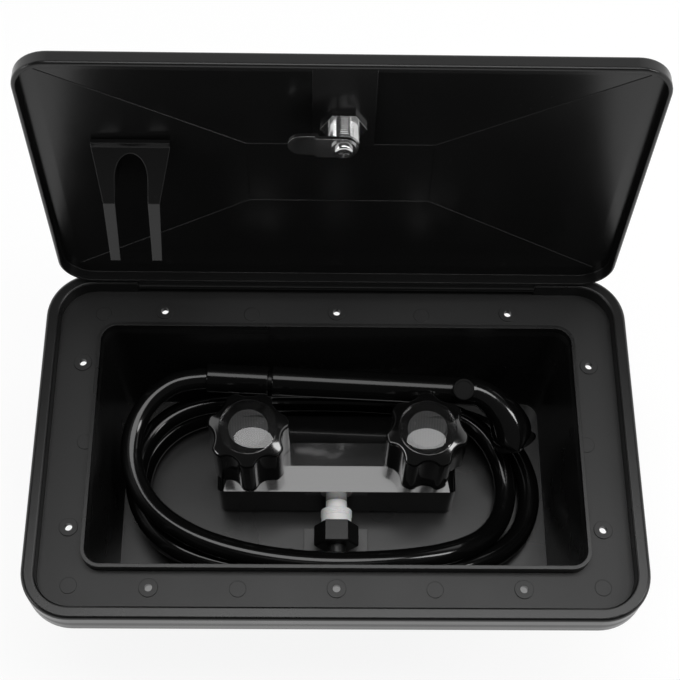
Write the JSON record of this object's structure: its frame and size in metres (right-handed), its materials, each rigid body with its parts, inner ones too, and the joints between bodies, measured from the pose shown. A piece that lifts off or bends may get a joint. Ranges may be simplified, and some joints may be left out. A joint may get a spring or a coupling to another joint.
{
  "type": "external shower box",
  "caption": "Recessed outdoor shower box with a hinged locking lid, a two-handle mixing faucet, a coiled hose and a hand shower held in the well.",
  "frame": {"origin": "centre of the wall cut-out and of the fixing-hole pattern, on the flange's back face, which lies on the wall panel", "axes": "+X along the box, +Y to the hinge side, +Z out of the wall"},
  "size_m": [0.33, 0.2202, 0.3161],
  "materials": {
    "box_plastic": "fine satin moulded black ABS",
    "lid_plastic": "polished black ABS",
    "faucet_plastic": "polished black plastic",
    "handset_plastic": "polished black plastic",
    "coupling_plastic": "satin black nylon",
    "hose_vinyl": "glossy black reinforced vinyl hose",
    "lock_chrome": "bright plated zinc",
    "zinc_plate": "zinc-plated pressed steel",
    "brass": "machined brass",
    "steel": "stainless steel",
    "white_nylon": "white moulded nylon",
    "clear_cap": "clear moulded acrylic",
    "index_print": "plain grey disc",
    "rubber": "black rubber and foam seals",
    "shank_plastic": "moulded black thread and locknut"
  },
  "bodies": {
    "root": {"housing": "box_plastic", "panel_gasket": "rubber", "hinge_rod": "steel", "faucet_body": "faucet_plastic", "deck_gasket": "rubber", "inlet_shank_left": "shank_plastic", "inlet_shank_right": "shank_plastic", "floor_washer_left": "rubber", "floor_washer_right": "rubber", "locknut_left": "shank_plastic", "locknut_right": "shank_plastic", "valve_bonnet_left": "brass", "valve_bonnet_right": "brass", "stem_seal_left": "rubber", "stem_seal_right": "rubber", "outlet_nipple": "white_nylon", "hose_washer": "rubber", "hose_nut": "coupling_plastic", "hose_elbow": "coupling_plastic", "faucet_sleeve": "coupling_plastic", "hose": "hose_vinyl", "handset_sleeve": "handset_plastic", "handset_connector": "coupling_plastic", "handset_handle": "handset_plastic", "spray_head": "handset_plastic", "spray_face": "coupling_plastic"},
    "lid": {"lid": "lid_plastic", "lock_body": "lock_chrome", "lock_nut": "lock_chrome", "handset_fork": "lid_plastic"},
    "lock_cam": {"lock_plug": "brass", "lock_cam": "zinc_plate", "cam_washer": "zinc_plate", "cam_screw": "lock_chrome"},
    "flow_button": {"flow_button": "handset_plastic"},
    "knob_left": {"knob_left": "faucet_plastic", "valve_stem_left": "brass", "knob_screw_left": "steel", "index_disc_left": "index_print", "knob_cap_left": "clear_cap"},
    "knob_right": {"knob_right": "faucet_plastic", "valve_stem_right": "brass", "knob_screw_right": "steel", "index_disc_right": "index_print", "knob_cap_right": "clear_cap"}
  },
  "joints": [
    {"name": "lid_hinge", "type": "hinge", "parent": "root", "child": "lid", "pos_m": [0, 0.0976, 0.0131], "axis": [1, 0, 0], "range_deg": [0, 94]},
    {"name": "lock_turn", "type": "hinge", "parent": "lid", "child": "lock_cam", "pos_m": [0.001, 0.10753, 0.15515], "axis": [0, 0.9976, -0.0698], "range_deg": [0, 90]},
    {"name": "hot_knob_turn", "type": "hinge", "parent": "root", "child": "knob_left", "pos_m": [-0.0498, 0.015, -0.02], "axis": [0, 0, 1], "range_deg": [0, 180]},
    {"name": "cold_knob_turn", "type": "hinge", "parent": "root", "child": "knob_right", "pos_m": [0.0518, 0.015, -0.02], "axis": [0, 0, 1], "range_deg": [0, 180]},
    {"name": "flow_button_push", "type": "slide", "parent": "root", "child": "flow_button", "axis": [0, 0.3489, -0.9371], "range_m": [0, 0.004]}
  ]
}
